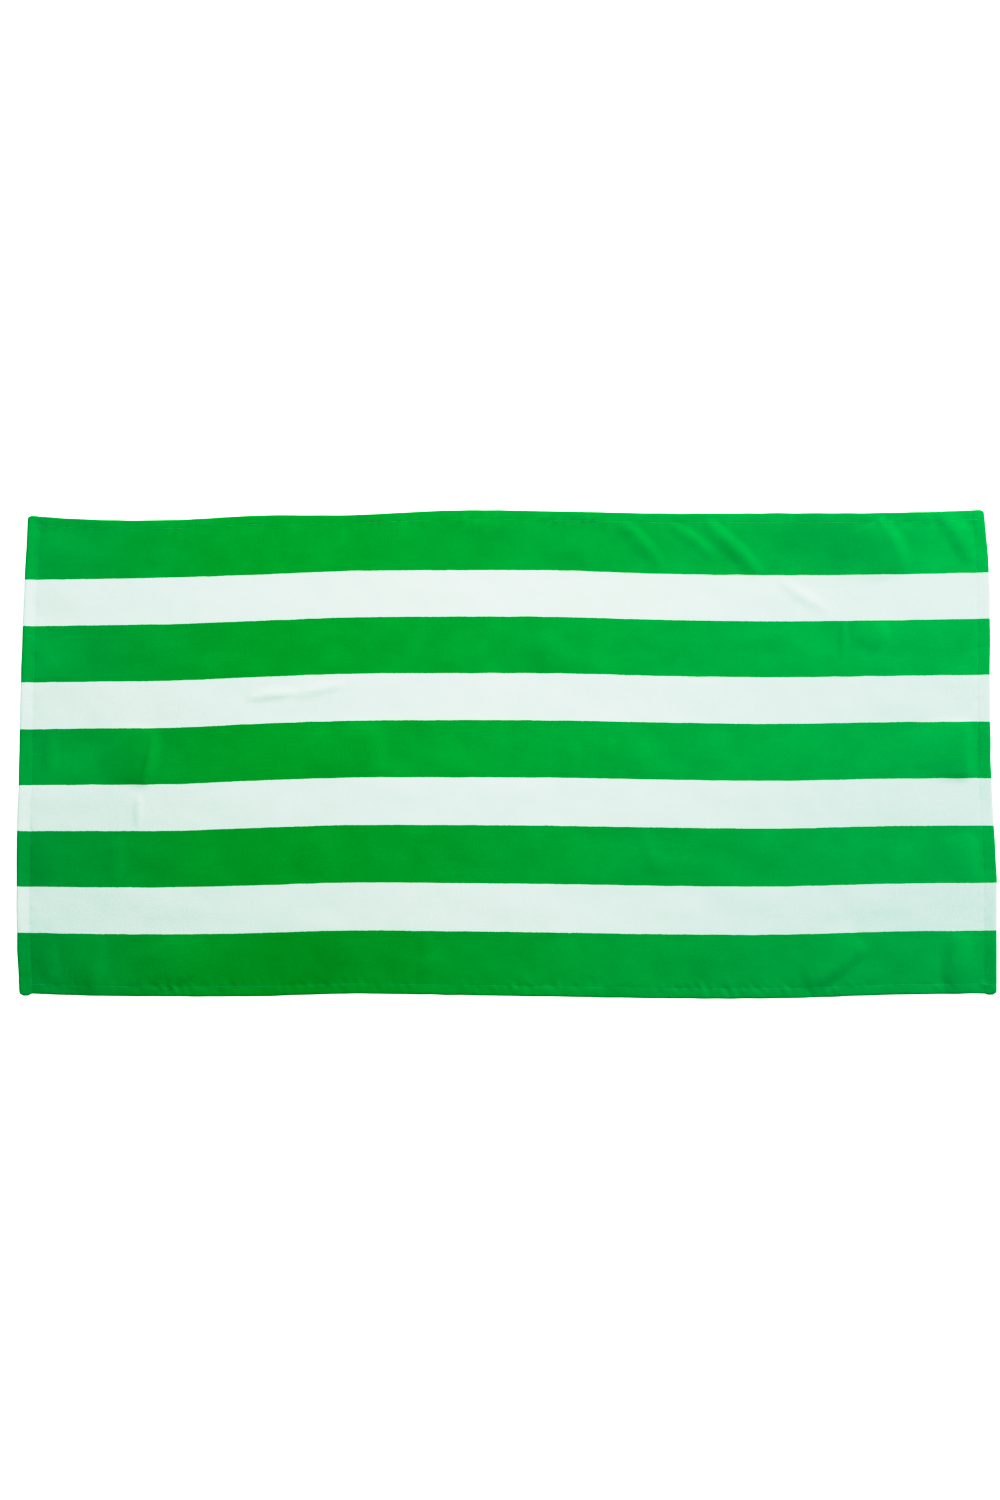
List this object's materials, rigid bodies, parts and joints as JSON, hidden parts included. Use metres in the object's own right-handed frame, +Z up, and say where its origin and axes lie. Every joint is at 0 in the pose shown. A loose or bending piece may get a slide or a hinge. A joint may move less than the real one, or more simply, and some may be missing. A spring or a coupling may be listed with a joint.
{
  "type": "beach towel",
  "caption": "Flat rectangular beach towel with wide lengthwise stripes and sewn hems, lying open with a few low creases.",
  "frame": {"origin": "under the middle of the towel, on the surface that it lies on", "axes": "+X along the towel and its stripes, +Y across it, +Z up through its pile"},
  "size_m": [1.5226, 0.7664, 0.0079],
  "materials": {
    "striped_towelling": "soft matt cotton pile in wide stripes of bright green and white along the length",
    "sewing_thread": "white cotton thread, half sunk in the pile and slightly smoother than it"
  },
  "bodies": {
    "root": {"towel": "striped_towelling"}
  },
  "joints": []
}
